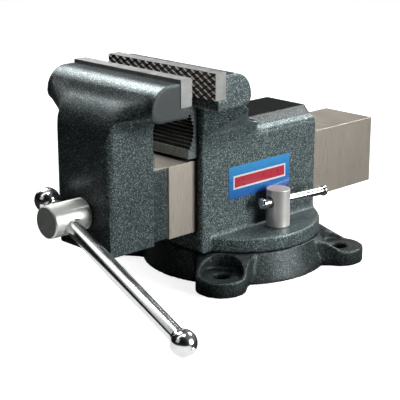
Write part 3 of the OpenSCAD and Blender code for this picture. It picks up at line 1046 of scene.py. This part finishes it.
def floor():
    """Pale ground: evenly white to the camera, and a dim grey in the light that it throws back."""
    bm = bmesh.new()
    bmesh.ops.create_grid(bm, x_segments=1, y_segments=1, size=14)
    obj = from_bmesh("floor", bm)
    mat, tree, shader = new_material("floor_pale", (0.9, 0.9, 0.9), 0.0, 0.9)
    shader.inputs["Specular IOR Level"].default_value = 0.0
    shader.inputs["Emission Color"].default_value = (1, 1, 1, 1)
    shader.inputs["Emission Strength"].default_value = 0.80
    dim = tree.nodes.new("ShaderNodeBsdfDiffuse")
    dim.inputs["Color"].default_value = (0.06, 0.06, 0.06, 1)
    rays = tree.nodes.new("ShaderNodeLightPath")
    pick = tree.nodes.new("ShaderNodeMixShader")
    tree.links.new(rays.outputs["Is Camera Ray"], pick.inputs["Fac"])
    tree.links.new(dim.outputs["BSDF"], pick.inputs[1])
    tree.links.new(shader.outputs["BSDF"], pick.inputs[2])
    tree.links.new(pick.outputs["Shader"], tree.nodes["Material Output"].inputs["Surface"])
    paint(obj, mat)
    return obj


def world():
    """A studio that is bright above and behind, and dark in front."""
    space = bpy.data.worlds.new("studio")
    bpy.context.scene.world = space
    space.use_nodes = True
    tree = space.node_tree
    coords = tree.nodes.new("ShaderNodeTexCoord")
    lean = tree.nodes.new("ShaderNodeVectorMath")
    lean.operation = "DOT_PRODUCT"
    lean.inputs[1].default_value = (0.20, 0.75, 0.45)
    tree.links.new(coords.outputs["Generated"], lean.inputs[0])
    tone = ramp(tree, lean.outputs["Value"],
                [(0.0, (0.015, 0.016, 0.017)), (0.35, (0.10, 0.102, 0.104)),
                 (0.52, (0.42, 0.424, 0.428)), (0.8, (0.6, 0.6, 0.6))])
    tree.links.new(tone, tree.nodes["Background"].inputs["Color"])
    tree.nodes["Background"].inputs["Strength"].default_value = 0.27


def camera():
    """Seen from the front right, a little above."""
    data = bpy.data.cameras.new("camera")
    data.sensor_width = 36
    data.lens = 109.3
    obj = bpy.data.objects.new("camera", data)
    obj.location = (0.8418, -0.8668, 0.4198)
    obj.rotation_euler = (math.radians(90 - 16.66), 0, math.radians(45.88))
    bpy.context.scene.collection.objects.link(obj)
    bpy.context.scene.camera = obj


# ---- assembly ----

def stand_for(obj, body, slot, *nodes):
    """Makes a piece ride on a body and lets it stand for CAD nodes by hiding them. The slot is not
    used.
    """
    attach(obj, body)
    if nodes:
        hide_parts(*nodes)


def mark_faces(obj, index, test):
    """Gives the faces that pass a test the material at that index."""
    for poly in obj.data.polygons:
        if test(poly):
            poly.material_index = index


camera()
floor()
world()
card("top", (-0.78, -0.05, 1.25), (0, -0.05, 0.1), (0.65, 0.45), 30)
card("rims", (0.28, -0.22, 1.45), (0, -0.05, 0.1), (0.35, 0.35), 4)
area_light("back", (0.18, 1.15, 1.15), (0, 0, 0.1), (0.45, 0.45), 12)
area_light("right", (1.7, 0.65, 0.50), (0, 0, 0.1), (1.0, 1.0), 30)
area_light("front", (-0.1, -1.6, 0.9), (0, -0.1, 0.1), (0.8, 0.8), 1)
area_light("left", (-1.7, 0.25, 0.9), (0, 0, 0.1), (1.0, 1.0), 8)
card("card_high", (-0.04, -0.62, 1.35), (0.1, -0.3, 0.1), (0.34, 1.7), 2.6)
card("card_low", (0.1, -0.33, 0.002), (0.1, -0.33, 1), (0.36, 0.24), 0.25)
bpy.context.scene.view_settings.view_transform = "Standard"

paint_mat = casting_paint("casting_paint", 1.0)
# Painted light: a lighter copy of the paint for the body.
body_lit_paint = casting_paint("body_lit_paint", 1.4)
# Painted shade: a darker copy of the paint for the base.
base_shaded_paint = casting_paint("base_shaded_paint", 0.52)
# Painted shade: a darker copy of the paint for the neck behind the slab.
neck_shade_paint = casting_paint("neck_shade_paint", 0.75)
# Painted shade: a much darker copy of the paint for the upper part of the anvil's bevel.
cove_shade_paint = casting_paint("cove_shade_paint", 0.3)
# Painted shade: a copy of the paint that darkens towards the bench, for the front of the moving
# jaw.
front_shade_paint = casting_paint("front_shade_paint", 1.0, painted_low_shade=True)
anvil_mat = anvil_paint()
bar_steel = ground_steel("bar_steel", (0.50, 0.455, 0.395), (30, 900, 60), (20, 60, 8), 0.45)
plate_steel = ground_steel("plate_steel", (0.34, 0.345, 0.335), (300, 60, 60), (90, 90, 90), 0.45)
teeth_mat = serration_steel()
# Painted highlight for the groove walls that catch the light.
lit_groove_mat = lit_groove_paint()
# Painted highlight for the tips of the pipe grips' teeth.
lit_teeth_tip = ground_steel("lit_teeth_tip", (0.42, 0.42, 0.40), (300, 300, 300), (90, 90, 90), 0.5)
chrome = bright_plating("chrome", (0.86, 0.87, 0.86), 0.12)
screw_face = dark_steel("screw_face", (0.84, 0.90, 0.83), 0.6, 0.0, 0.12)
head_steel = bright_plating("head_steel", (0.86, 0.88, 0.84), 0.36, 0.05, 0.6)
zinc = bright_plating("zinc", (0.86, 0.85, 0.82), 0.34, 0.05, 0.45)
black = dark_steel("black_oxide", (0.03, 0.03, 0.032), 0.4)
raw_iron = dark_steel("raw_iron", (0.16, 0.15, 0.145), 0.55)
raw_steel = dark_steel("raw_steel", (0.32, 0.31, 0.3), 0.4)

base = base_casting()
paint(base, base_shaded_paint)
stand_for(base, "base", "casting_paint", "swivel_base")

body = body_casting()
paint(body, body_lit_paint, anvil_mat, cove_shade_paint)
# The upper part of the bevel below the anvil takes the much darker copy, as painted shade.
mark_faces(body, 2, lambda p: 0.2 < abs(p.normal.x) < 0.9 and p.normal.z > 0.4
           and abs(p.center.x) < 45 * MM and p.center.y > BODY_FRONT
           and 145 * MM < p.center.z < ANVIL_Z + 0.2 * MM)
mark_faces(body, 1, lambda p: p.normal.z > 0.97 and abs(p.center.z - ANVIL_Z) < 1.0 * MM)
stand_for(body, "body", "casting_paint", "fixed_body")

jaw = jaw_casting()
paint(jaw, paint_mat, end_paint(), neck_shade_paint, front_shade_paint)
# Front faces below 140 mm take the copy that darkens towards the bench, as painted shade.
mark_faces(jaw, 3, lambda p: p.normal.y < -0.75 and p.center.z < 140 * MM)
# The neck behind the slab takes the darker copy, as painted shade.
mark_faces(jaw, 2, lambda p: abs(p.center.x) < 33 * MM and p.center.y > -147 * MM
           and p.center.z < 124 * MM)
mark_faces(jaw, 1, lambda p: abs(p.normal.x) > 0.95 and abs(p.center.x) > JAW_HALF - 1.2 * MM)
stand_for(jaw, "slide", "casting_paint", "moving_jaw")

bar = slide_bar()
paint(bar, bar_steel)
stand_for(bar, "slide", "ground_steel")

for side, part, group in ((1, "fixed", "body"), (-1, "moving", "slide")):
    grip = pipe_grip(part + "_pipe_grip", side)
    stand_for(grip, group, "casting_paint")
    plate = jaw_plate(part + "_plate", side)
    paint_plate(plate, side)
    stand_for(plate, group, "ground_steel", part + "_jaw_plate")

head = screw_head()
paint(head, head_steel, screw_face)
mark_faces(head, 1, lambda p: p.normal.y < -0.95 and p.center.y < low("lead_screw").y + 0.2 * MM)
stand_for(head, "screw", "chrome", "lead_screw")
for piece in (screw_thread(), screw_shank()):
    paint(piece, raw_steel)
    stand_for(piece, "screw", "chrome")

rod, rod_axis = handle_rod()
paint(rod, chrome)
stand_for(rod, "handle", "chrome", "handle_rod")
for node, inward in (("handle_ball_near", -rod_axis), ("handle_ball_far", rod_axis)):
    knob = ball(node.replace("handle_", ""), node, inward)
    paint(knob, chrome)
    stand_for(knob, "handle", "chrome", node)

for hand in ("right", "left"):
    slide = "lock_bar_" + hand + "_slide"
    nut = lock_nut("nut_" + hand, "lock_nut_" + hand, "lock_bar_" + hand, slide)
    paint(nut, zinc)
    stand_for(nut, hand + "_nut", "zinc", "lock_nut_" + hand)
    rod_piece = lock_bar("bar_" + hand, "lock_bar_" + hand, slide)
    paint(rod_piece, chrome)
    stand_for(rod_piece, hand + "_bar", "chrome", "lock_bar_" + hand)
    ends = lock_buttons("buttons_" + hand, "lock_bar_" + hand, slide)
    paint(ends, chrome)
    stand_for(ends, hand + "_bar", "chrome", "lock_buttons_" + hand)

label = side_label()
paint(label, label_print())
stand_for(label, "body", "label_film", "side_label")

# The small pieces whose CAD shape is right take a finish only.
finishes = {"fixed_plate_screws": black, "moving_plate_screws": black, "nut_bolt": black,
            "nut_bolt_washer": zinc, "lock_studs": zinc, "spindle_nut": raw_iron,
            "retaining_spring": raw_steel, "thrust_washer": zinc, "retaining_collar": raw_steel,
            "split_pin": zinc}
for node, mat in finishes.items():
    for slot in NODES[node].material_slots:
        slot.material = mat
